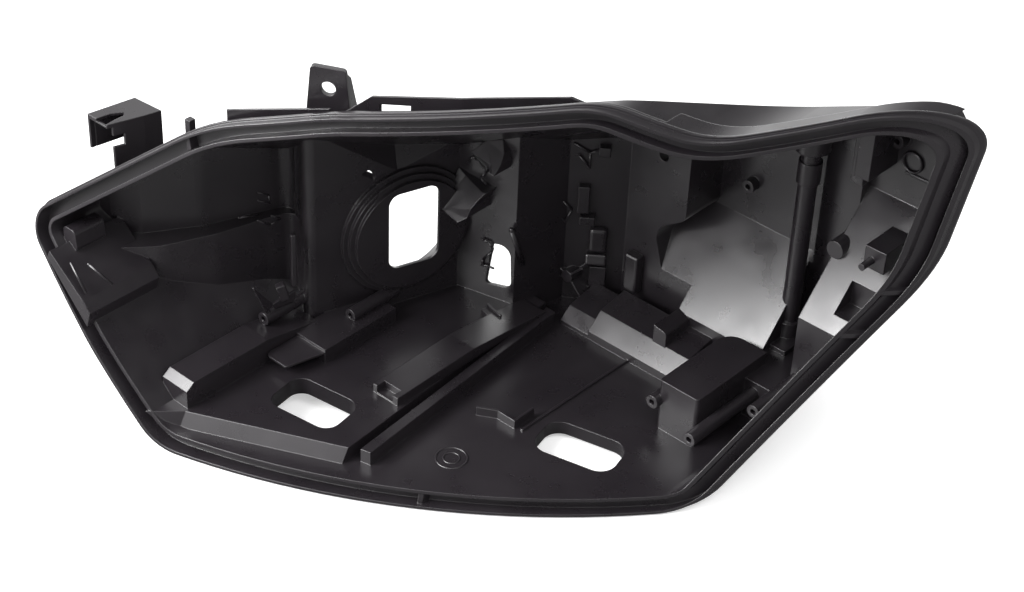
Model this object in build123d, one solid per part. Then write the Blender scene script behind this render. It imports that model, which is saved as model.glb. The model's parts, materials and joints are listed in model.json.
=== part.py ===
from build123d import *
import math
import os

# Lamp housing, moulded in one piece in black polypropylene. Millimetres.
# X runs along the long side, Y goes from the lens opening to the back and Z is up.
# The core of the mould leaves towards -Y, so every recess and screw boss inside
# opens towards the lens. Places count from the middle of the floor, whose top is
# close to z = 0, and the last step moves the part to its origin.

# ---------------------------------------------------------------- shell
WALL = 2.6                # nominal wall of the moulding
RIB = 1.8                 # thickness of ribs
REACH = 420.0             # how far construction solids run past the part
BITE = 1.0                # overlap that joins one feature to the next
LENS_RADIUS = 594.5       # curved front in plan
LENS_CENTRE = (-355.0, 433.3)
LENS_RAKE = 11.3          # degrees that the front leans back

# outline of the rim, seen along Y, with the radius of each corner
RIM_CORNERS = [
    ((-335, 121), 22), ((-262, 46), 300), ((-199, -11.5), 45), ((119, -11.5), 24),
    ((187, 150), 130), ((194, 288), 42), ((86, 269), 45), ((34, 295), 40),
    ((-110, 266), 200), ((-190, 239), 150),
]
REST = -13.1              # height of the surface that the part stands on

# ---------------------------------------------------------------- sealing rim
OUTER_LIP = 2.0           # thin outer wall of the channel
CHANNEL = 8.6             # width of the glue channel
CHANNEL_DEPTH = 11.0
RIM_DEPTH = 14.0
INNER_LIP_SETBACK = 3.0   # the inner lip stands this much lower
BEAD = 1.6                # flange that runs round the rim
BEAD_DEPTH = (6.0, 9.0)   # where it starts and ends behind the front
RIM_WIDTH = OUTER_LIP + CHANNEL + WALL
TIE = 3.0                 # width of the ties across the channel
TIE_SETBACK = 4.0
SHROUD_DEPTH = 29.0       # how far the outer lip runs back at the top right
SHROUD_FOOT = 268.0
SHROUD_PLAN = [(62, 0), (200, 0), (200, 276), (140, 187), (62, 187)]
# x and z of each tie and the direction that it crosses in
RIM_TIES = [(-240, 213, 110), (-205, 230, 108), (-20, -7, 90), (172, 110, -24), (184, 138, -24)]

FLOOR = RIM_CORNERS[2][0][1] + RIM_WIDTH      # top of the floor

# ---------------------------------------------------------------- walls in plan
POCKET_TIER = 97.0        # height of the step in the left pocket
POCKET_CURVE = 45.0       # radius of the soft bends of its wall
POCKET_EDGE = 9.0
LOWER_POCKET = [((-318, -130), 0), ((-290, -114), 0), ((-265, -86), POCKET_CURVE),
                ((-248, -46), POCKET_CURVE), ((-238, -7), POCKET_CURVE), ((-229, 18), POCKET_EDGE)]
UPPER_POCKET = [((-318, -104), 0), ((-304, -97), 0), ((-286, -83), 0),
                ((-263, -46), POCKET_CURVE), ((-250, -12), POCKET_CURVE), ((-238, 20), POCKET_EDGE)]
PILLAR = (-199, -5)
PILLAR_RADIUS = 7.0
BAY_CORNER = (-160, 118)
BAY_BACK = [(-112, 130), (-102, 176), (-66, 204)]
FACET_TIP = (-176, 68, 134)      # lowest point of the folded part of the bay's wall
FACET_ENDS = [(-193, 14, 176), (-161, 115, 147)]
FACET_LEAN = 35.0
FACET_HOLE = (20.0, 12.0, 6.0)   # place along and above the first fold, and radius
CENTRE_BACK = 204.0
CHAMBER_SIDE = [((12, 20), 0), ((12, 34), 3), ((-26, 42), 18), ((-39, 84), 16), ((-11, 104), 9)]
CHAMBER_RIGHT = 80.0
SIDE_BACK = 240.0
SHELF = 35.0              # height of the rear shelf on the right
SHELF_FRONT = 162.0
SHELF_LEFT = 54.0
PLATE_LEFT = 112.0
PLATE_RIGHT = 230.0

# ramps of the rear, as (y, z) of the foot and of the fold above it
CHAMBER_RAMP = ((190, 35), (245, 101))
PLATE_RAMP = ((180, 94), (250, 173))
ROOF_HEIGHT = 299.0       # above x = 0, y = 0
ROOF_RISES = (0.60, 0.52)        # rise along X on the left and on the right of the fold
ROOF_FOLD = 30.0
ROOF_FALL = 0.52          # fall towards the back

# ---------------------------------------------------------------- rear socket
SOCKET_CENTRE = (75, 81)  # y and z on the wall of the bay
SOCKET_RINGS = [(54.0, 3.5), (50.0, 7.0), (46.0, 10.5)]   # radius and rise
SOCKET_COLLAR = 6.0       # how far the collar stands out at the back
SOCKET_WINDOW = (42.0, 66.0)
WINDOW_RADIUS = 9.0
WINDOW_OFFSET = (1.6, 6.0)
REAR_WINDOW = [((-136, 24), 3), ((-114, 27), 7), ((-116, 66), 9), ((-131, 63), 3)]
REAR_WINDOW_START = 90.0

# ---------------------------------------------------------------- floor
STEP = 13.0               # height of the raised platform
PLATFORM = [(-224, -165), (-190, -131), (-79, -77), (-96, 150), (-224, 150)]
PLATFORM_TOE = 7.0        # how far the foot of its front stands out
PLATFORM_CORE_LEFT = -182.0      # where the floor below it becomes level
RAIL = [(-72, -72), (-64, -70), (-83, 146), (-91, 146)]
FLOOR_STEP = [(-15, 33), (-13, 33), (-12, 151), (-14, 151)]
FLOOR_STEP_HEIGHT = 3.2
SLOT_WALL = 2.0
FRONT_SLOT_RADIUS, SIDE_SLOT_RADIUS = 11.0, 13.0
FRONT_SLOT_TURN, SIDE_SLOT_TURN = 8.0, 14.0
FRONT_SLOT = ((-132.5, -60), (58, 38), FRONT_SLOT_RADIUS, FRONT_SLOT_TURN)
SIDE_SLOT = ((27, 50), (63, 37), SIDE_SLOT_RADIUS, SIDE_SLOT_TURN)
FRONT_SLOT_FOOT = -1.0    # height of the lower edge of the wall round each slot
SIDE_SLOT_FOOT = -9.0

# long box and ledge beside the pocket, the wing in front and the wedge
LONG_BOX = [(-128, 28), (-121, 33), (-50, 33), (0, 24)]  # y and z of its top
LONG_BOX_SIDES = (-217, -191)
LEDGE = ((-194, -22), (-160, 52))
LEDGE_HEIGHT = 12.0       # above the platform
WING = [((-190, -54), 5), ((-168, -54), 3), ((-160, -20), 0), ((-190, -20), 0)]
WING_HEIGHT = 8.0
WEDGE = [(-20, 7), (60, 9), (140, 1)]    # y and height above the platform
WEDGE_SIDES = (-112, -87)
WEDGE_NOTCH = ((-108, -30), (-92, -12))
CLIP_HEIGHT = 9.0
CLIP_LEFT, CLIP_MIDDLE, CLIP_RIGHT = (-50, 24), (-36, 32), (-20, 52)

# ---------------------------------------------------------------- rear features
STRUT = [(150, 9), (163, 22), (190, 27)]     # y and z of its top
STRUT_SIDES = (-52, 34)
STRUT_END = [(150, 5), (160, 14), (190, 20)]
STRUT_END_SIDES = (-80, -50)
POST_BOX = [((51, 106), 3), ((86, 106), 3), ((86, 186), 0), ((51, 186), 14)]
POST_BOX_TOP = 45.0
TUBE = (77, 224)
TUBE_RADIUS = 7.0
TUBE_TOP = 232.0
TUBE_COLLARS = [(35, 52, 9.6), (172, 190, 8.6), (200, 232, 13.0)]
TUBE_FOOT = (28.0, 22.0, 4.0)
PIN_BLOCK = ((143, 204, 143), (160, 236, 160))
PIN = (149, 150, 192, 2.6)          # x, z, start and radius
PLATE_STEPS = [((118, 216, 200), (130, 252, 262)), ((112, 222, 190), (122, 252, 230))]
PLATE_BUTTON = (114, 137, 212, 7.0)
BLIND_POCKET = ((135, 104), (156, 124))      # x and z of two corners
BLIND_POCKET_BACK = 208.0
BACK_BOSS = (-95, 27)
BACK_BOSS_DEPTH = (172, 190)
BACK_BOSS_RIBS = [(-17, 6), (-15, -9), (14, 14), (16, -16)]

# ---------------------------------------------------------------- screw bosses
BOSS = 5.2                # outer radius
SCREW_BORE = 2.2          # radius of the pilot hole
BORE_DEPTH = 16.0
# x and z of the mouth, its depth and the depth of the root
SCREW_BOSSES = [
    (-209, 36, -38, 12), (-175, 28, 18, 66), (50, 27, 100, 120),
    (94, 25, 88, SHELF_FRONT + BITE), (118, 41, 128, PLATE_RAMP[0][0] + BITE),
    (18, 133, 237, CHAMBER_RAMP[1][0] + BITE), (132, 222, 242, PLATE_RAMP[1][0] + BITE / 2),
]

# ---------------------------------------------------------------- left pocket
PAD = [(-306, 98), (-264, 60), (-259, 76), (-266, 84), (-300, 110)]      # x and z
PAD_DEPTH = (-156, -92)
BUMP = [((-306, 104), 4), ((-291, 104), 4), ((-293, 121), 4), ((-306, 121), 4)]
BUMP_DEPTH = (-138, -112)

# ---------------------------------------------------------------- outside
BRACKET = [(-290, -120), (-269, -120), (-261, -94), (-258, -81), (-284, -83)]   # in plan
BRACKET_RANGE = (165, 213)
BRACKET_SLOT = [(-281, -122), (-279, -109), (-274, -101), (-271, -104), (-271, -112), (-270, -122)]
# two corners of each cut: the open front, the lower left and the window at the right
BRACKET_CUTS = [((-288, -122, 159), (-266, -116, 210)), ((-300, -122, 159), (-270, -78, 186)),
                ((-272, -117, 194), (-260, -108, 203))]
WALL_FOOT = 140.0         # depth that the walls on top reach down to
EAR_PLACE = (-131, -41)   # in plan, on the axis of its hole
EAR_TURN = 30.0
EAR_HEIGHT = 271.0        # of its hole
EAR = [((-20, 200), 0), ((20, 200), 0), ((12, 286), 3), ((-12, 287), 3)]
EAR_THICKNESS = 4.0
EAR_WEB = [(0, 200), (0, 282), (9, 274), (26, 239), (26, 200)]   # depth and height
EAR_WEBS = (-12.5, 9.5)
EAR_BORE = 5.25
TOP_WALL = [(-121, -48), (-46, -4), (4, 33), (36, 56)]         # in plan
TOP_WALL_EDGE = [(-121, 253), (-98, 275), (-40, 284), (10, 291), (36, 279)]  # x and height
LOW_WALL = [(-187, -82), (-121, -50)]
LOW_WALL_EDGE = [(-187, 246), (-121, 262)]
TOP_WINDOW = [(-93, 258), (-75, 261), (-75, 272), (-93, 270)]
PEG = ((-216, -95, WALL_FOOT), (-211, -90, 231))    # two corners

# ribs, breather, feet and the rear tab on the hidden side
RIB_RISE = 6.0
RIB_PLACES = [-84, -48, 20, 50]
RIB_FRONT = 150.0
RIB_TOP = 196.0
BREATHER = (-36, 150)
BREATHER_RADIUS = 7.0
BREATHER_BORE = 4.4
BREATHER_LENGTH = 14.0
FEET = [(-138, 108, STEP - WALL), (22, 136, FLOOR - WALL)]    # x, y and top
FOOT_WIDTH = 16.0
TAB = (-55, 236)          # place of its hole, in plan
TAB_RADIUS = 13.0
TAB_THICKNESS = 4.0
TAB_BORE = 4.5


def face_of(corners):
    """Closed face from (point, corner radius) pairs."""
    line = FilletPolyline(*[c[0] for c in corners], radius=[c[1] for c in corners], close=True)
    return make_face(line)


def sharp(*points):
    return make_face(Polyline(*points, close=True))


def along_y(face, start, end):
    """Prism of an (x, z) face between two depths."""
    plane = Plane(origin=(0, start, 0), x_dir=(1, 0, 0), z_dir=(0, -1, 0))
    return extrude(plane * face, amount=end - start, dir=(0, 1, 0))


def along_z(face, bottom, top):
    """Prism of an (x, y) face between two heights."""
    return extrude(Pos(0, 0, bottom) * face, amount=top - bottom, dir=(0, 0, 1))


def along_x(face, left, right):
    """Prism of a (y, z) face between two places along X."""
    plane = Plane(origin=(left, 0, 0), x_dir=(0, 1, 0), z_dir=(1, 0, 0))
    return extrude(plane * face, amount=right - left, dir=(1, 0, 0))


def block(low, high):
    """Box between two opposite corners."""
    size = [b - a for a, b in zip(low, high)]
    middle = [(a + b) / 2 for a, b in zip(low, high)]
    return Pos(*middle) * Box(*size)


def post_y(x, z, start, end, radius):
    """Round post along Y."""
    return along_y(Pos(x, z) * Circle(radius), start, end)


def post_z(x, y, bottom, top, radius):
    """Round post along Z."""
    return along_z(Pos(x, y) * Circle(radius), bottom, top)


def grown(face, amount):
    return offset(face, amount=amount) if amount else face


def joined(pieces):
    first, *rest = pieces
    return first + rest if rest else first


RIM_FACE = face_of(RIM_CORNERS)
OPENING_FACE = grown(RIM_FACE, -RIM_WIDTH)


def behind_lens(setback=0.0):
    """Everything that lies behind the curved and raked front."""
    centre = (LENS_CENTRE[0], LENS_CENTRE[1] + setback, 0)
    lean = math.radians(LENS_RAKE)
    axis = Plane(origin=centre, x_dir=(1, 0, 0), z_dir=(0, math.sin(lean), math.cos(lean)))
    return axis * Cylinder(LENS_RADIUS, 4 * REACH)


# ------------------------------------------------------------------ the shell
def plan_wall(pocket):
    """Walls of the pocket and of the main bay, in plan."""
    corners = [((-REACH, -REACH), 0), ((-REACH, pocket[0][0][1]), 0), *pocket]
    corners += [(PILLAR, PILLAR_RADIUS), (BAY_CORNER, 0)]
    corners += [(point, 0) for point in BAY_BACK]
    corners += [((0, CENTRE_BACK), 0), ((0, SHELF_FRONT), 0)]
    corners += [((REACH, SHELF_FRONT), 0), ((REACH, -REACH), 0)]
    return face_of(corners)


def ramp_profile(ramp):
    """Side view of a bay whose back wall starts with a ramp."""
    (foot_y, foot_z), (fold_y, fold_z) = ramp
    return sharp((-REACH, -REACH), (foot_y, -REACH), (foot_y, foot_z), (fold_y, fold_z),
                 (fold_y, REACH), (-REACH, REACH))


def chamber(grow):
    """Bay on the right with the ramp, and a side that leans."""
    side = face_of([*CHAMBER_SIDE, ((CHAMBER_SIDE[-1][0][0], REACH), 0),
                    ((CHAMBER_RIGHT, REACH), 0), ((CHAMBER_RIGHT, CHAMBER_SIDE[0][0][1]), 0)])
    return (along_x(grown(ramp_profile(CHAMBER_RAMP), grow), -REACH, REACH)
            & along_y(grown(side, grow), -REACH, REACH))


def roof_plane(rise, grow):
    """Everything below one plane of the roof, which falls towards the back."""
    lift = grow * math.sqrt(1 + rise ** 2 + ROOF_FALL ** 2)
    height = ROOF_HEIGHT + ROOF_RISES[0] * ROOF_FOLD + lift
    plane = Plane(origin=(ROOF_FOLD, 0, height), z_dir=(-rise, ROOF_FALL, 1))
    return plane * Pos(0, 0, -REACH) * Box(6 * REACH, 6 * REACH, 2 * REACH)


def roof(grow):
    left, right = [roof_plane(rise, grow) for rise in ROOF_RISES]
    return left & right


def bay_direction():
    """Direction of the bay's side wall in plan, from front to back."""
    return Vector(BAY_CORNER[0] - PILLAR[0], BAY_CORNER[1] - PILLAR[1], 0).normalized()


def facet_plane(end):
    """Plane that leans out of the bay's side wall along a fold, its z into the room."""
    run = bay_direction()
    inward = Vector(run.Y, -run.X, 0)
    fold = (Vector(*end) - Vector(*FACET_TIP)).normalized()
    rise = fold.cross(inward)
    rise = rise if rise.Z > 0 else -rise
    lean = math.radians(FACET_LEAN)
    return Plane(origin=FACET_TIP, x_dir=fold, z_dir=inward * math.cos(lean) + rise * math.sin(lean))


def facet(grow):
    """Room above the two folds, where the wall leans outwards below the roof."""
    half = Pos(0, 0, REACH / 2 - grow) * Box(REACH, REACH, REACH)
    first, second = [facet_plane(end) * half for end in FACET_ENDS]
    x, y, z = FACET_TIP
    near = block((x - REACH / 4, y - REACH / 4, z - REACH / 4), (BAY_CORNER[0], BAY_CORNER[1], REACH))
    return first & second & near


def facet_hole():
    along, above, radius = FACET_HOLE
    return facet_plane(FACET_ENDS[0]) * Pos(along, above) * Cylinder(radius, 6 * WALL)


def space(grow):
    """All the room inside, grown on every side by the wall for the outside."""
    upper = along_z(grown(plan_wall(UPPER_POCKET), grow), POCKET_TIER - grow, REACH)
    lower = along_z(grown(plan_wall(LOWER_POCKET), grow), -REACH, REACH)
    side = block((SHELF_LEFT - grow, -REACH, SHELF - grow),
                 (PLATE_LEFT + grow, CHAMBER_RAMP[0][0] + grow, REACH))
    side += block((CHAMBER_RIGHT - WALL - grow, -REACH, SHELF - grow),
                  (PLATE_LEFT + grow, SIDE_BACK + grow, REACH))
    plate = along_x(grown(ramp_profile(PLATE_RAMP), grow), PLATE_LEFT - grow, PLATE_RIGHT)
    rooms = upper + lower + chamber(grow) + side + plate + facet(grow)
    return along_y(grown(OPENING_FACE, grow), -REACH, REACH) & rooms & roof(grow)


def rim_ring(outside, inside):
    """Endless ring between the rim's outline and the opening's, each one grown."""
    return (along_y(grown(RIM_FACE, outside), -REACH, REACH)
            - along_y(grown(OPENING_FACE, inside), -REACH, REACH))


def sealing_rim():
    """Flange round the opening, with the bead on its outside."""
    flange = (rim_ring(0, WALL / 2) & behind_lens()) - behind_lens(RIM_DEPTH)
    start, end = BEAD_DEPTH
    bead = (rim_ring(BEAD, WALL + CHANNEL) & behind_lens(start)) - behind_lens(end)
    return flange + bead


def shroud():
    """Thin outer wall that runs back from the flange at the top right."""
    ring = along_y(RIM_FACE, -REACH, REACH) - along_y(grown(RIM_FACE, -WALL), -REACH, REACH)
    ring = (ring & behind_lens(CHANNEL_DEPTH)) - behind_lens(SHROUD_DEPTH)
    return ring & along_z(sharp(*SHROUD_PLAN), SHROUD_FOOT, REACH)


def rim_tie(place):
    x, z, turn = place
    plank = Pos(x, z) * Rot(0, 0, turn) * Rectangle(2 * RIM_WIDTH, TIE)
    return along_y(plank, -REACH, REACH)


def glue_channel():
    """The groove that the lens sits in, with its ties, and the lowered inner lip."""
    groove = rim_ring(-OUTER_LIP, WALL) - behind_lens(CHANNEL_DEPTH)
    groove -= joined([rim_tie(place) for place in RIM_TIES]) & behind_lens(TIE_SETBACK)
    lip = along_y(grown(RIM_FACE, -OUTER_LIP), -REACH, REACH) - behind_lens(INNER_LIP_SETBACK)
    return groove + lip


# ------------------------------------------------------------------ the floor
def platform():
    """Raised floor on the left, with a sloping front and the rail beside it."""
    toe = [(x, y - PLATFORM_TOE) for x, y in PLATFORM[:3]] + PLATFORM[3:]
    slope = loft([sharp(*toe), Pos(0, 0, STEP) * sharp(*PLATFORM)])
    return slope + along_z(sharp(*RAIL), -WALL, STEP)


def platform_core():
    """Underside of the platform, so that the floor keeps one wall."""
    core = along_z(grown(sharp(*PLATFORM), -WALL), -REACH, STEP - WALL)
    core &= block((PLATFORM_CORE_LEFT, -REACH, -REACH), (REACH, REACH, REACH))
    core &= along_z(plan_wall(LOWER_POCKET), -REACH, REACH)
    return core - slot_prism(FRONT_SLOT, -REACH, STEP, SLOT_WALL)


def slot_prism(slot, bottom, top, grow):
    """Prism of a floor slot, or of the wall round it."""
    centre, size, radius, turn = slot
    width, depth = size
    face = RectangleRounded(width + 2 * grow, depth + 2 * grow, radius + grow)
    return along_z(Pos(*centre) * Rot(0, 0, turn) * face, bottom, top)


def beam(top, sides, grow=0.0):
    """Beam on the floor with the given top line, or the core inside it."""
    profile = sharp((top[0][0], -REACH), *top, (top[-1][0], -REACH))
    left, right = sides
    return along_x(grown(profile, grow), left - grow, right + grow)


def ledge(grow=0.0):
    (left, front), (right, back) = LEDGE
    return block((left - grow, front - grow, -REACH),
                 (right + grow, back + grow, STEP + LEDGE_HEIGHT + grow))


def wedge():
    """Low wedge on the platform, with a notch in its front end."""
    top = [(y, STEP + height) for y, height in WEDGE]
    profile = sharp((top[0][0], STEP - BITE), *top, (top[-1][0], STEP - BITE))
    (left, front), (right, back) = WEDGE_NOTCH
    notch = block((left, front, STEP + BITE), (right, back, REACH))
    return along_x(profile, *WEDGE_SIDES) - notch


def floor_ridges():
    """Long ridges that stiffen the floor and carry the trim."""
    level = STEP + WING_HEIGHT
    wing = along_z(face_of(WING), level, level + RIB)
    step = along_z(sharp(*FLOOR_STEP), -WALL, FLOOR_STEP_HEIGHT)
    return beam(LONG_BOX, LONG_BOX_SIDES) + ledge() + wing + wedge() + step


def clip():
    """Upright hook on the floor that holds a cable."""
    line = Polyline(CLIP_LEFT, CLIP_MIDDLE, (CLIP_RIGHT[0], CLIP_MIDDLE[1]), CLIP_RIGHT)
    return along_z(trace(line, RIB), -WALL, CLIP_HEIGHT)


# ------------------------------------------------------------------ rear features
def strut(grow=0.0):
    """Stepped beam across the back of the floor."""
    return beam(STRUT, STRUT_SIDES, grow) + beam(STRUT_END, STRUT_END_SIDES, grow)


def post_box(grow=0.0):
    """Block beside the shelf, rounded at its rear, with a screw boss in front."""
    return along_z(grown(face_of(POST_BOX), grow), -REACH, POST_BOX_TOP + grow)


def tube():
    """Round pillar that joins the shelf to the roof."""
    x, y = TUBE
    pillar = joined([post_z(x, y, SHELF - WALL, TUBE_TOP, TUBE_RADIUS)]
                    + [post_z(x, y, *collar) for collar in TUBE_COLLARS])
    width, depth, height = TUBE_FOOT
    foot = block((x - width / 2, y - depth, SHELF - BITE),
                 (x + width / 2, SIDE_BACK + BITE, SHELF + height))
    return pillar + foot


def right_plate():
    """Bosses and steps of the ramp on the right."""
    x, z, start, radius = PIN
    pin = post_y(x, z, start, PIN_BLOCK[0][1] + BITE, radius)
    x, z, start, radius = PLATE_BUTTON
    button = post_y(x, z, start, PLATE_RAMP[1][0], radius)
    return block(*PIN_BLOCK) + pin + button + joined([block(*step) for step in PLATE_STEPS])


def blind_pocket(grow=0.0):
    """Square recess in the ramp."""
    (left, bottom), (right, top) = BLIND_POCKET
    return block((left - grow, SHELF_FRONT, bottom - grow),
                 (right + grow, BLIND_POCKET_BACK + grow, top + grow))


def screw_boss(place):
    x, z, start, end = place
    return post_y(x, z, start, end, BOSS)


def screw_bore(place):
    x, z, start, end = place
    return post_y(x, z, start - BITE, min(start + BORE_DEPTH, end), SCREW_BORE)


def back_boss():
    """Boss with four thin ribs on the middle of the back wall."""
    x, z = BACK_BOSS
    star = [post_y(x, z, *BACK_BOSS_DEPTH, BOSS)]
    start, end = BACK_BOSS_DEPTH
    for run, rise in BACK_BOSS_RIBS:
        line = Line((x, z), (x + run, z + rise))
        star.append(along_y(trace(line, RIB), start + BITE, end + WALL))
    return joined(star)


# ------------------------------------------------------------------ rear socket
def socket_plane():
    """Plane of the bay wall at the socket, its z pointing into the room."""
    run = bay_direction()
    y, z = SOCKET_CENTRE
    along = (y - PILLAR[1]) / run.Y
    origin = (PILLAR[0] + run.X * along, y, z)
    return Plane(origin=origin, x_dir=(run.X, run.Y, 0), z_dir=(run.Y, -run.X, 0))


def disc(radius, low, high):
    """Disc on the bay wall between two heights above its inner face."""
    return socket_plane() * Pos(0, 0, (low + high) / 2) * Cylinder(radius, high - low)


def socket_pad():
    """Stepped round pad that rises into the room, and the collar behind it."""
    rings = [disc(radius, -WALL, rise) for radius, rise in SOCKET_RINGS]
    return joined(rings) + disc(SOCKET_RINGS[-1][0], -WALL - SOCKET_COLLAR, 0)


def socket_bore():
    """Hollow behind the pad, open to the back, and the window in its floor."""
    radius, rise = SOCKET_RINGS[-1]
    hollow = disc(radius - WALL, -REACH / 4, rise - WALL)
    face = Pos(*WINDOW_OFFSET) * RectangleRounded(*SOCKET_WINDOW, WINDOW_RADIUS)
    window = socket_plane() * extrude(face, amount=rise + BITE, dir=(0, 0, 1))
    return hollow + window


# ------------------------------------------------------------------ left pocket
def pocket_pad():
    """Pad on the slope of the left pocket, with the small bump beside it."""
    return along_y(sharp(*PAD), *PAD_DEPTH) + along_y(face_of(BUMP), *BUMP_DEPTH)


# ------------------------------------------------------------------ outside
def box_bracket():
    """Hollow box on the outside of the top left, with a slot in its top and an open front."""
    bottom, top = BRACKET_RANGE
    outline = sharp(*BRACKET)
    bracket = along_z(outline, bottom, top)
    bracket -= along_z(grown(outline, -RIB), bottom, top - RIB)
    bracket -= along_z(sharp(*BRACKET_SLOT), top - RIB, top)
    return bracket - joined([block(*cut) for cut in BRACKET_CUTS])


def ear():
    """Upright ear that a screw holds to the body, with two webs behind it."""
    plate = along_y(face_of(EAR), -EAR_THICKNESS, 0)
    webs = [along_x(sharp(*EAR_WEB), left, left + WALL) for left in EAR_WEBS]
    hole = post_y(0, EAR_HEIGHT, -EAR_THICKNESS - BITE, BITE, EAR_BORE)
    return Pos(*EAR_PLACE) * Rot(0, 0, EAR_TURN) * (joined([plate, *webs]) - hole)


def fence(run, edge):
    """Thin upright wall along a run in plan, cut to the line of its upper edge."""
    wall = along_z(trace(Polyline(*run), RIB), WALL_FOOT, REACH)
    below = sharp((edge[0][0] - RIB, WALL_FOOT), (edge[0][0] - RIB, edge[0][1]), *edge,
                  (edge[-1][0] + RIB, edge[-1][1]), (edge[-1][0] + RIB, WALL_FOOT))
    return wall & along_y(below, -REACH, REACH)


def top_walls():
    """Upright walls along the top edge, with a window, and a small peg."""
    window = along_y(sharp(*TOP_WINDOW), TOP_WALL[0][1], TOP_WALL[2][1])
    high = fence(TOP_WALL, TOP_WALL_EDGE) - window
    return high + fence(LOW_WALL, LOW_WALL_EDGE) + block(*PEG)


def rear_ribs():
    """Upright ribs on the back of the walls."""
    slabs = [block((x, RIB_FRONT, 0), (x + RIB, REACH, RIB_TOP)) for x in RIB_PLACES]
    return space(WALL + RIB_RISE) & joined(slabs)


def rear_tab():
    """Tab with a hole at the lower back, and the rib that holds it."""
    x, y = TAB
    back = CENTRE_BACK + WALL
    outline = Pos(x, y) * Circle(TAB_RADIUS)
    outline += sharp((x - TAB_RADIUS, back - BITE), (x + TAB_RADIUS, back - BITE),
                     (x + TAB_RADIUS, y), (x - TAB_RADIUS, y))
    tab = along_z(outline, STEP, STEP + TAB_THICKNESS)
    rib = sharp((back - BITE, STEP), (back - BITE, STEP + 2 * TAB_RADIUS), (y + TAB_RADIUS, STEP))
    webs = [along_x(rib, x + side * (TAB_RADIUS - RIB / 2) - RIB / 2,
                    x + side * (TAB_RADIUS - RIB / 2) + RIB / 2) for side in (-1, 1)]
    webs = joined(webs) & along_y(Pos(x, STEP) * Rectangle(2 * TAB_RADIUS, 4 * TAB_RADIUS),
                                  back - BITE, y)
    return tab + webs - post_z(x, y, 0, STEP + TAB_THICKNESS + BITE, TAB_BORE)


def feet():
    """Hollow square feet at the back, level with the lowest line of the rim."""
    half = FOOT_WIDTH / 2
    tubes = []
    for x, y, top in FEET:
        outer = block((x - half, y - half, REST), (x + half, y + half, top + BITE))
        half_bore = half - WALL
        tubes.append(outer - block((x - half_bore, y - half_bore, REST),
                                   (x + half_bore, y + half_bore, top)))
    return joined(tubes)


# ------------------------------------------------------------------ the moulding
def walls():
    return (SKIN & behind_lens()) - ROOM + sealing_rim() + shroud() - glue_channel()


def inner_features():
    """All that stands on the walls inside, kept within the outer skin."""
    pieces = [platform(), floor_ridges(), clip(), strut(), post_box(), tube(), right_plate(),
              back_boss(), pocket_pad()]
    return joined(pieces + [screw_boss(place) for place in SCREW_BOSSES]) & SKIN


def cores():
    """Recesses from below and behind that keep the ridges at one wall."""
    recesses = [platform_core(), beam(LONG_BOX, LONG_BOX_SIDES, -WALL), ledge(-WALL),
                strut(-WALL), post_box(-WALL)]
    return joined(recesses)


def outer_features():
    x, z = BREATHER
    breather = post_y(x, z, CENTRE_BACK, CENTRE_BACK + WALL + BREATHER_LENGTH, BREATHER_RADIUS)
    pieces = [box_bracket(), ear(), top_walls(), rear_ribs(), rear_tab(), breather,
              blind_pocket(WALL)]
    return joined(pieces) - ROOM


def openings():
    """Every hole through the walls, and the pilot holes of the screws."""
    x, z = BREATHER
    holes = [post_y(x, z, CENTRE_BACK - BITE, REACH, BREATHER_BORE), socket_bore(),
             slot_prism(FRONT_SLOT, -REACH, STEP + BITE, 0),
             slot_prism(SIDE_SLOT, -REACH, FLOOR + BITE, 0),
             along_y(face_of(REAR_WINDOW), REAR_WINDOW_START, REACH), blind_pocket(),
             facet_hole()]
    return joined(holes + [screw_bore(place) for place in SCREW_BOSSES])


def slot_walls():
    return (slot_prism(FRONT_SLOT, FRONT_SLOT_FOOT, STEP, SLOT_WALL)
            + slot_prism(SIDE_SLOT, SIDE_SLOT_FOOT, FLOOR, SLOT_WALL))


ROOM = space(0)
SKIN = space(WALL)
housing = walls() + inner_features() - cores() + outer_features()
housing += slot_walls() + feet() + socket_pad()
housing -= openings()

box = housing.bounding_box()
housing = Pos(-box.center().X, -box.center().Y, -box.min.Z) * housing
os.makedirs("parts", exist_ok=True)
export_step(housing, "parts/housing.step")
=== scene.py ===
import json
import math

import bmesh
import bpy
from mathutils import Matrix, Quaternion, Vector


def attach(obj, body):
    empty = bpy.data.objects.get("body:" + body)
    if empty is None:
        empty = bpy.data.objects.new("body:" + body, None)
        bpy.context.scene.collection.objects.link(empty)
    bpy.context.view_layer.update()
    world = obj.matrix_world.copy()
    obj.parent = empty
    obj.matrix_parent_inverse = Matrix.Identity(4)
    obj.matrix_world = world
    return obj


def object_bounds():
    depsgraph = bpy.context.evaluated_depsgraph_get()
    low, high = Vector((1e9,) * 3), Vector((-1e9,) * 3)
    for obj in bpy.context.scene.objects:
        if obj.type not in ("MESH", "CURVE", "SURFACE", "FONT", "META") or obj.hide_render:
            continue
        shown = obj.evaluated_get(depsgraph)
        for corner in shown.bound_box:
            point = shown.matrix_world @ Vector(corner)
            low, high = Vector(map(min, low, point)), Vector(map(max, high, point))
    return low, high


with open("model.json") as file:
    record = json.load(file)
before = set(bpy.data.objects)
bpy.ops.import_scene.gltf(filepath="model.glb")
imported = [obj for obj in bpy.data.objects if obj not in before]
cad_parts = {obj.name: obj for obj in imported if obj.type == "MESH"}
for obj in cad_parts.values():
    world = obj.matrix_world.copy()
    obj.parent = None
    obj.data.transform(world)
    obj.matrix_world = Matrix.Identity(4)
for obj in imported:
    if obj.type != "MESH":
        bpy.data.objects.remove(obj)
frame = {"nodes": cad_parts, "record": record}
cad_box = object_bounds()

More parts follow.
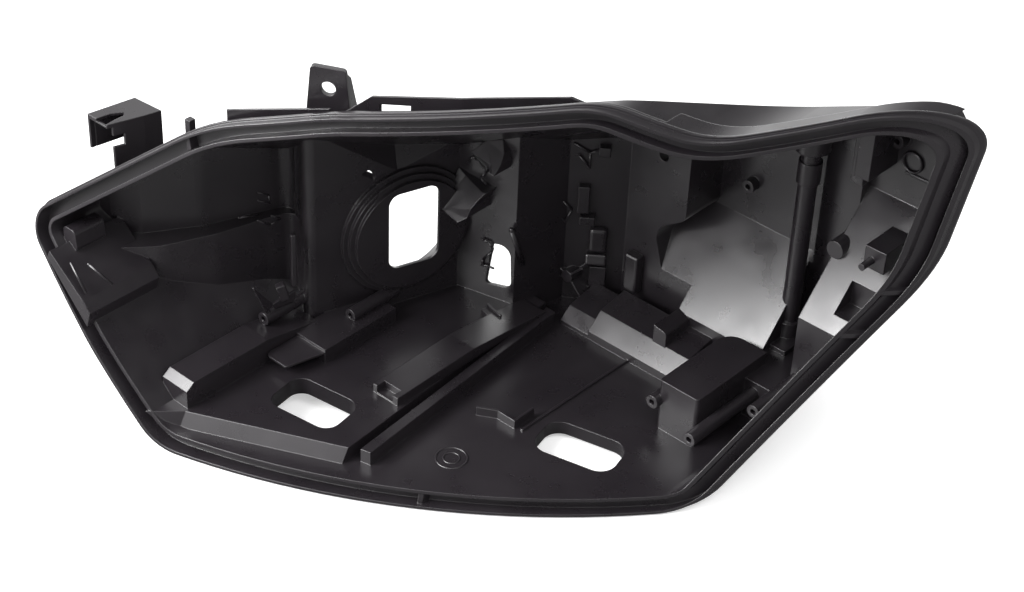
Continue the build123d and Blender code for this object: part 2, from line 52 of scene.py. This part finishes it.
# ---------------------------------------------------------------- moulded housing
# The body of a lamp, moulded in one piece of black polypropylene. It comes straight
# from a polished steel mould: satin, faintly cloudy where the melt flowed, and with
# small radii on every edge.
MM = 0.001
BLACK = (0.0112, 0.0094, 0.0114, 1.0)
CLOUDED = (0.0160, 0.0138, 0.0160, 1.0)
CLOUD_SCALE, CLOUD_DETAIL, CLOUD_STRETCH = 16, 4, (1, 0.5, 1)
CLOUD_RANGE = (0.35, 0.7)
SHEEN_SCALE, SHEEN_DETAIL = 40, 5
SHEEN_RANGE = (0.3, 0.7)
ROUGHNESS = (0.24, 0.37)
EDGE_RADIUS = 0.9 * MM
EDGE_SAMPLES = 6
GRAIN_SCALE, GRAIN_DETAIL = 1400, 2
GRAIN_STRENGTH, GRAIN_HEIGHT = 0.12, 0.05 * MM
PLASTIC_IOR = 1.5

moulding = bpy.data.materials.new("moulded_black")
moulding.use_nodes = True
nodes, links = moulding.node_tree.nodes, moulding.node_tree.links
nodes.clear()
output = nodes.new("ShaderNodeOutputMaterial")
shader = nodes.new("ShaderNodeBsdfPrincipled")
shader.inputs["IOR"].default_value = PLASTIC_IOR
links.new(shader.outputs["BSDF"], output.inputs["Surface"])
place = nodes.new("ShaderNodeTexCoord")


def noise(scale, detail, stretch=(1, 1, 1)):
    """Noise over the piece's own coordinates."""
    mapping = nodes.new("ShaderNodeMapping")
    mapping.inputs["Scale"].default_value = stretch
    links.new(place.outputs["Object"], mapping.inputs["Vector"])
    texture = nodes.new("ShaderNodeTexNoise")
    texture.inputs["Scale"].default_value = scale
    texture.inputs["Detail"].default_value = detail
    links.new(mapping.outputs["Vector"], texture.inputs["Vector"])
    return texture.outputs["Fac"]


def rescaled(tree, source, span, result):
    """Value of a socket, moved from one range to another."""
    change = tree.nodes.new("ShaderNodeMapRange")
    change.inputs["From Min"].default_value, change.inputs["From Max"].default_value = span
    change.inputs["To Min"].default_value, change.inputs["To Max"].default_value = result
    tree.links.new(source, change.inputs["Value"])
    return change.outputs["Result"]


clouds = noise(CLOUD_SCALE, CLOUD_DETAIL, CLOUD_STRETCH)
tint = nodes.new("ShaderNodeMix")
tint.data_type = "RGBA"
tint.inputs["A"].default_value = BLACK
tint.inputs["B"].default_value = CLOUDED
links.new(rescaled(moulding.node_tree, clouds, CLOUD_RANGE, (0, 1)), tint.inputs["Factor"])
links.new(tint.outputs["Result"], shader.inputs["Base Color"])
sheen = noise(SHEEN_SCALE, SHEEN_DETAIL)
links.new(rescaled(moulding.node_tree, sheen, SHEEN_RANGE, ROUGHNESS), shader.inputs["Roughness"])
edges = nodes.new("ShaderNodeBevel")
edges.samples = EDGE_SAMPLES
edges.inputs["Radius"].default_value = EDGE_RADIUS
grain = nodes.new("ShaderNodeBump")
grain.inputs["Strength"].default_value = GRAIN_STRENGTH
grain.inputs["Distance"].default_value = GRAIN_HEIGHT
links.new(noise(GRAIN_SCALE, GRAIN_DETAIL), grain.inputs["Height"])
links.new(edges.outputs["Normal"], grain.inputs["Normal"])
links.new(grain.outputs["Normal"], shader.inputs["Normal"])

housing = frame["nodes"]["housing"]
housing.data.materials.clear()
housing.data.materials.append(moulding)

# ---------------------------------------------------------------- hooks and thin ribs
# Snap hooks and cable guides, moulded on the walls and thin enough to look like bent
# wire. Each is a round bar with round corners along a short line of points.
BOSS_FROM_FLOOR_MIDDLE = Vector((50, 108, 27))    # the boss on the long box, in millimetres
HOOK_RADIUS = 0.9
POCKET_HOOK_RADIUS = 0.8
PAD_RIB_RADIUS = 1.0
BACK_EDGE_RADIUS = 2.2
ROUND_SEGMENTS = 12
BALL_RINGS = 8
mounts = {mount["name"]: Vector(mount["pos_m"]) for mount in frame["record"]["mounts"]}
FLOOR_MIDDLE = mounts["screw_boss_box"] - BOSS_FROM_FLOOR_MIDDLE * MM


def at(x, y, z):
    """Place in the frame, from millimetres counted from the middle of the floor."""
    return FLOOR_MIDDLE + Vector((x, y, z)) * MM


def finished(name, mesh, smooth=False):
    """The piece, in the finish of the housing and riding on it."""
    data = bpy.data.meshes.new(name)
    bmesh.ops.recalc_face_normals(mesh, faces=mesh.faces)
    mesh.to_mesh(data)
    mesh.free()
    for face in data.polygons:
        face.use_smooth = smooth
    data.materials.append(moulding)
    piece = bpy.data.objects.new(name, data)
    bpy.context.scene.collection.objects.link(piece)
    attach(piece, "root")


def hook(name, points, radius=HOOK_RADIUS):
    mesh = bmesh.new()
    corners = [at(*point) for point in points]
    for start, end in zip(corners, corners[1:]):
        along = end - start
        turned = along.to_track_quat("Z", "Y").to_matrix().to_4x4()
        bmesh.ops.create_cone(mesh, cap_ends=True, segments=ROUND_SEGMENTS, radius1=radius * MM,
                              radius2=radius * MM, depth=along.length,
                              matrix=Matrix.Translation((start + end) / 2) @ turned)
    for corner in corners:
        bmesh.ops.create_uvsphere(mesh, u_segments=ROUND_SEGMENTS, v_segments=BALL_RINGS,
                                  radius=radius * MM, matrix=Matrix.Translation(corner))
    finished(name, mesh, smooth=True)


hook("hook_bay", [(-152, 118, 129), (-151, 118, 132), (-147, 119, 136), (-138, 121, 130),
                  (-137, 121, 126), (-140, 120, 120), (-136, 121, 117)])
hook("hook_back", [(-103, 173, 92), (-98, 177, 85), (-101, 174, 74), (-106, 171, 80)])
hook("hook_column", [(-99, 177, 144), (-89, 184, 137), (-84, 188, 140)])
hook("hook_column_low", [(-95, 179, 134), (-89, 184, 124), (-89, 184, 137)])
hook("latch_of_window", [(-138, 122, 65), (-132, 123, 64), (-129, 124, 60), (-130, 124, 56),
                         (-137, 122, 47), (-138, 122, 41), (-133, 123, 42), (-128, 124, 42)])
hook("edge_of_back", [(-113, 126, 84), (-109, 136, 50)], BACK_EDGE_RADIUS)
hook("rib_of_pad_low", [(-281, -152, 107), (-267, -152, 89)], PAD_RIB_RADIUS)
hook("rib_of_pad_high", [(-266, -148, 112), (-252, -140, 98)], PAD_RIB_RADIUS)
pocket_hooks = [
    [(-222, -27, 137), (-222, -17, 130), (-222, -16, 122), (-222, -27, 130)],
    [(-222, -46, 124), (-222, -28, 118)],
    [(-222, -28, 113), (-222, -17, 104), (-222, -7, 104)],
    [(-222, -15, 111), (-222, -7, 105)],
]
for number, points in enumerate(pocket_hooks):
    hook(f"hook_pocket_{number}", points, POCKET_HOOK_RADIUS)

# ---------------------------------------------------------------- guides in the bay
# Two leaning guides moulded on the wall of the bay, for the slide of a reflector. Each
# is an outline pushed back onto the plane of the wall, so it thins out at the bottom.
BAY_WALL_POINT, BAY_WALL_NORMAL = Vector((-160, 118, 0)), Vector((0.243, -0.970, 0))
BITE = 0.5                # how far a guide sinks into the wall


def wedge(name, outline, pushed):
    """Solid between an outline and the places that its points are pushed to."""
    mesh = bmesh.new()
    corners = [Vector(point) for point in outline]
    face = mesh.faces.new([mesh.verts.new(at(*corner)) for corner in corners])
    front = list(face.verts)
    behind = [vert for vert in bmesh.ops.extrude_face_region(mesh, geom=[face])["geom"]
              if isinstance(vert, bmesh.types.BMVert)]
    places = {vert.co.copy().freeze(): corner for vert, corner in zip(front, corners)}
    for vert in behind:
        vert.co = at(*pushed(places[vert.co.copy().freeze()]))
    finished(name, mesh)


def onto_bay_wall(corner):
    depth = (corner - BAY_WALL_POINT).dot(BAY_WALL_NORMAL) / BAY_WALL_NORMAL.y
    return corner - Vector((0, depth - BITE, 0))


wedge("guide_left", [(-160, 117, 122), (-152, 116, 119), (-133, 113, 115), (-129, 113, 115),
                     (-132, 108, 109), (-134, 103, 103), (-133, 98, 98), (-139, 94, 93),
                     (-159, 96, 96)], onto_bay_wall)
wedge("guide_right", [(-145, 113, 144), (-137, 122, 154), (-125, 126, 158), (-119, 121, 151),
                      (-117, 115, 144), (-118, 109, 137), (-123, 109, 138), (-125, 113, 142),
                      (-138, 113, 143)], onto_bay_wall)

# ---------------------------------------------------------------- steps, stops and rests
# The stepped column on the back wall, and the stops, rests and ribs that the parts
# inside lean on. Each is a moulded block with rounded edges.
COLUMN_TURN = 38          # of the folded back wall, in degrees
BLOCK_RADIUS = 0.8
BLOCK_SEGMENTS = 2


def pad(name, middle, size, turn=0.0, tilt=0.0, radius=BLOCK_RADIUS):
    """Block from its middle and size, leaned about its long side and then turned."""
    mesh = bmesh.new()
    turned = (Matrix.Rotation(math.radians(turn), 4, "Z")
              @ Matrix.Rotation(math.radians(tilt), 4, "X"))
    sized = Matrix.Diagonal((*[value * MM for value in size], 1))
    bmesh.ops.create_cube(mesh, size=1, matrix=Matrix.Translation(at(*middle)) @ turned @ sized)
    bmesh.ops.bevel(mesh, geom=mesh.edges[:], offset=radius * MM, segments=BLOCK_SEGMENTS,
                    profile=0.5, affect="EDGES", material=-1)
    finished(name, mesh)


pad("stop_back", (-52.5, 200, 39), (13, 9, 34), radius=2.0)
pad("step_1", (-91, 182, 97), (9, 8, 24), COLUMN_TURN)
pad("step_2", (-88, 184, 79), (12, 10, 7), COLUMN_TURN)
pad("step_3", (-81, 190, 60), (14, 8, 22), COLUMN_TURN, radius=3.0)
pad("step_4", (-81, 189, 43), (16, 12, 9), COLUMN_TURN, tilt=-18, radius=1.5)
pad("step_foot", (-80, 191, 26), (13, 7, 20), COLUMN_TURN)
pad("stop_top", (-80, 190, 141), (9, 8, 8), COLUMN_TURN)
pad("rest_platform", (-112, 107, 14.5), (18, 9, 5), turn=-12)
pad("rest_platform_rib", (-112, 109, 18), (18, 2, 3), turn=-12)
pad("rib_pocket", (-203, -12, 80), (5, 4, 46), turn=-30)
pad("stop_pocket", (-205, -22, 55), (6, 7, 14), turn=-30, tilt=15)
pad("slit_plate", (151, 249.4, 197), (26, 1.6, 2.2), radius=0.6)

# ---------------------------------------------------------------- rings
# Raised round marks: the rim of a blind hole and the seat of a plug on the right wall,
# and two plain rings on the floor. Each is a flat profile spun about its axis.
RING_STEPS = 48
EDGE_SHARE = 0.3          # of a ring's height that its slanted edges take
MERGE = 0.001 * MM
TOWARDS_LENS, UP = (0, -1, 0), (0, 0, 1)


def ring(name, middle, facing, outer, inner, height):
    mesh = bmesh.new()
    slant = EDGE_SHARE * height
    profile = [(outer, 0), (outer, height - slant), (outer - slant, height),
               (inner + slant, height), (inner, height - slant), (inner, 0)]
    line = [mesh.verts.new((radius * MM, 0, rise * MM)) for radius, rise in profile]
    sides = [mesh.edges.new(pair) for pair in zip(line, line[1:])]
    bmesh.ops.spin(mesh, geom=line + sides, cent=(0, 0, 0), axis=(0, 0, 1), angle=math.tau,
                   steps=RING_STEPS, use_merge=True)
    bmesh.ops.remove_doubles(mesh, verts=mesh.verts, dist=MERGE)
    turned = Vector(facing).to_track_quat("Z", "Y").to_matrix().to_4x4()
    bmesh.ops.transform(mesh, matrix=Matrix.Translation(at(*middle)) @ turned, verts=mesh.verts)
    finished(name, mesh, smooth=True)


ring("blind_hole", (143, 250, 207), TOWARDS_LENS, 8.5, 6.5, 2.5)
ring("plug_seat", (132, 250, 223), TOWARDS_LENS, 7.0, 5.4, 1.2)
ring("mould_ring", (-29, -24, 1.7), UP, 12.0, 10.6, 0.6)
ring("mould_ring_inner", (-29, -24, 1.7), UP, 6.5, 5.3, 0.5)

# ---------------------------------------------------------------- gusset in the pocket
# Two thin webs that stand in a V on the screw boss of the left pocket and brace it.
# Each is a flat outline with the thickness of a web.
WEB = Vector((1.8, 0, 0))


def through_web(corner):
    return corner + WEB


wedge("gusset_front", [(-209, -48, 70), (-209, -29, 46), (-209, -36, 41)], through_web)
wedge("gusset_back", [(-209, -29, 46), (-206, -9, 50), (-206, -12, 41), (-209, -28, 41)],
      through_web)

# ---------------------------------------------------------------- table
# White paper under the housing. The camera sees it a little brighter than it is, and
# the plastic reflects it as grey.
TABLE_SIZE = 6.0
PAPER, PAPER_REFLECTED = (0.8, 0.8, 0.8, 1), (0.2, 0.2, 0.2, 1)
WHITENING = 0.4

bpy.ops.mesh.primitive_plane_add(size=TABLE_SIZE, location=(0, 0, cad_box[0][2]))
table = bpy.context.object
table.name = "table"
paper = bpy.data.materials.new("white_paper")
paper.use_nodes = True
paper_nodes, paper_links = paper.node_tree.nodes, paper.node_tree.links
paper_nodes.clear()
paper_output = paper_nodes.new("ShaderNodeOutputMaterial")
diffuse = paper_nodes.new("ShaderNodeBsdfDiffuse")
glow = paper_nodes.new("ShaderNodeEmission")
rays = paper_nodes.new("ShaderNodeLightPath")
shade = paper_nodes.new("ShaderNodeMix")
shade.data_type = "RGBA"
shade.inputs["A"].default_value = PAPER
shade.inputs["B"].default_value = PAPER_REFLECTED
paper_links.new(rays.outputs["Is Glossy Ray"], shade.inputs["Factor"])
paper_links.new(shade.outputs["Result"], diffuse.inputs["Color"])
whitening = paper_nodes.new("ShaderNodeMath")
whitening.operation = "MULTIPLY"
whitening.inputs[1].default_value = WHITENING
paper_links.new(rays.outputs["Is Camera Ray"], whitening.inputs[0])
paper_links.new(whitening.outputs["Value"], glow.inputs["Strength"])
both = paper_nodes.new("ShaderNodeAddShader")
paper_links.new(diffuse.outputs["BSDF"], both.inputs[0])
paper_links.new(glow.outputs["Emission"], both.inputs[1])
paper_links.new(both.outputs["Shader"], paper_output.inputs["Surface"])
table.data.materials.append(paper)

# ---------------------------------------------------------------- tent
# White cloth round the table that lights everything evenly. In the reflections on the
# plastic it is dark, apart from two bright panels: at the front left and low behind.
PANELS = [                # direction, where its edge fades out and its brightness
    ((-0.45, -0.66, 0.63), 0.62, 12.0),
    ((-0.5, 0.85, 0.1), 0.78, 3.5),
]
DARK_CLOTH = 0.22         # what each panel leaves of the rest of the tent
CLOTH = 1.0

world = bpy.data.worlds.new("tent")
bpy.context.scene.world = world
world.use_nodes = True
sky = world.node_tree.nodes["Background"]
sky.inputs["Color"].default_value = (1, 1, 1, 1)
sky_nodes, sky_links = world.node_tree.nodes, world.node_tree.links
heading = sky_nodes.new("ShaderNodeTexCoord")


def panel(direction, edge, brightness):
    towards = sky_nodes.new("ShaderNodeVectorMath")
    towards.operation = "DOT_PRODUCT"
    towards.inputs[1].default_value = Vector(direction).normalized()
    sky_links.new(heading.outputs["Generated"], towards.inputs[0])
    return rescaled(world.node_tree, towards.outputs["Value"], (edge, 1), (DARK_CLOTH, brightness))


front_panel, back_panel = [panel(*values) for values in PANELS]
reflected = sky_nodes.new("ShaderNodeMath")
sky_links.new(back_panel, reflected.inputs[0])
sky_links.new(front_panel, reflected.inputs[1])
sky_rays = sky_nodes.new("ShaderNodeLightPath")
sky_strength = sky_nodes.new("ShaderNodeMix")
sky_strength.inputs["A"].default_value = CLOTH
sky_links.new(sky_rays.outputs["Is Glossy Ray"], sky_strength.inputs["Factor"])
sky_links.new(reflected.outputs["Value"], sky_strength.inputs["B"])
sky_links.new(sky_strength.outputs["Result"], sky.inputs["Strength"])

# ---------------------------------------------------------------- soft boxes
# Two soft boxes above the table: the main one at the front left, and a weaker one at
# the right. Both face the middle of the housing.
LIT_POINT = (0, 100, 100)


def soft_box(name, where, size, power):
    data = bpy.data.lights.new(name, "AREA")
    data.shape = "RECTANGLE"
    data.size, data.size_y = size
    data.energy = power
    lamp = bpy.data.objects.new(name, data)
    bpy.context.scene.collection.objects.link(lamp)
    lamp.location = where
    lamp.rotation_euler = (at(*LIT_POINT) - where).to_track_quat("-Z", "Y").to_euler()


soft_box("soft_box_left", at(-700, -1080, 950), (0.9, 0.7), 42)
soft_box("soft_box_right", at(900, -300, 1500), (0.9, 0.7), 10)

# ---------------------------------------------------------------- camera
# Looks down on the open side from the front right, as a catalogue picture does, from
# far enough away to keep the long side straight.
AIM = at(0, 0, 147)
VIEW = Vector((-0.529, 0.608, -0.592)).normalized()
DISTANCE = 1500 * MM
ROLL = math.radians(2.56)
SENSOR_WIDTH, FOCAL_LENGTH = 36, 78.75

camera_data = bpy.data.cameras.new("camera")
camera_data.sensor_width = SENSOR_WIDTH
camera_data.lens = FOCAL_LENGTH
camera = bpy.data.objects.new("camera", camera_data)
bpy.context.scene.collection.objects.link(camera)
camera.location = AIM - VIEW * DISTANCE
camera.rotation_euler = (VIEW.to_track_quat("-Z", "Y") @ Quaternion((0, 0, 1), ROLL)).to_euler()
bpy.context.scene.camera = camera
bpy.context.scene.view_settings.view_transform = "Standard"
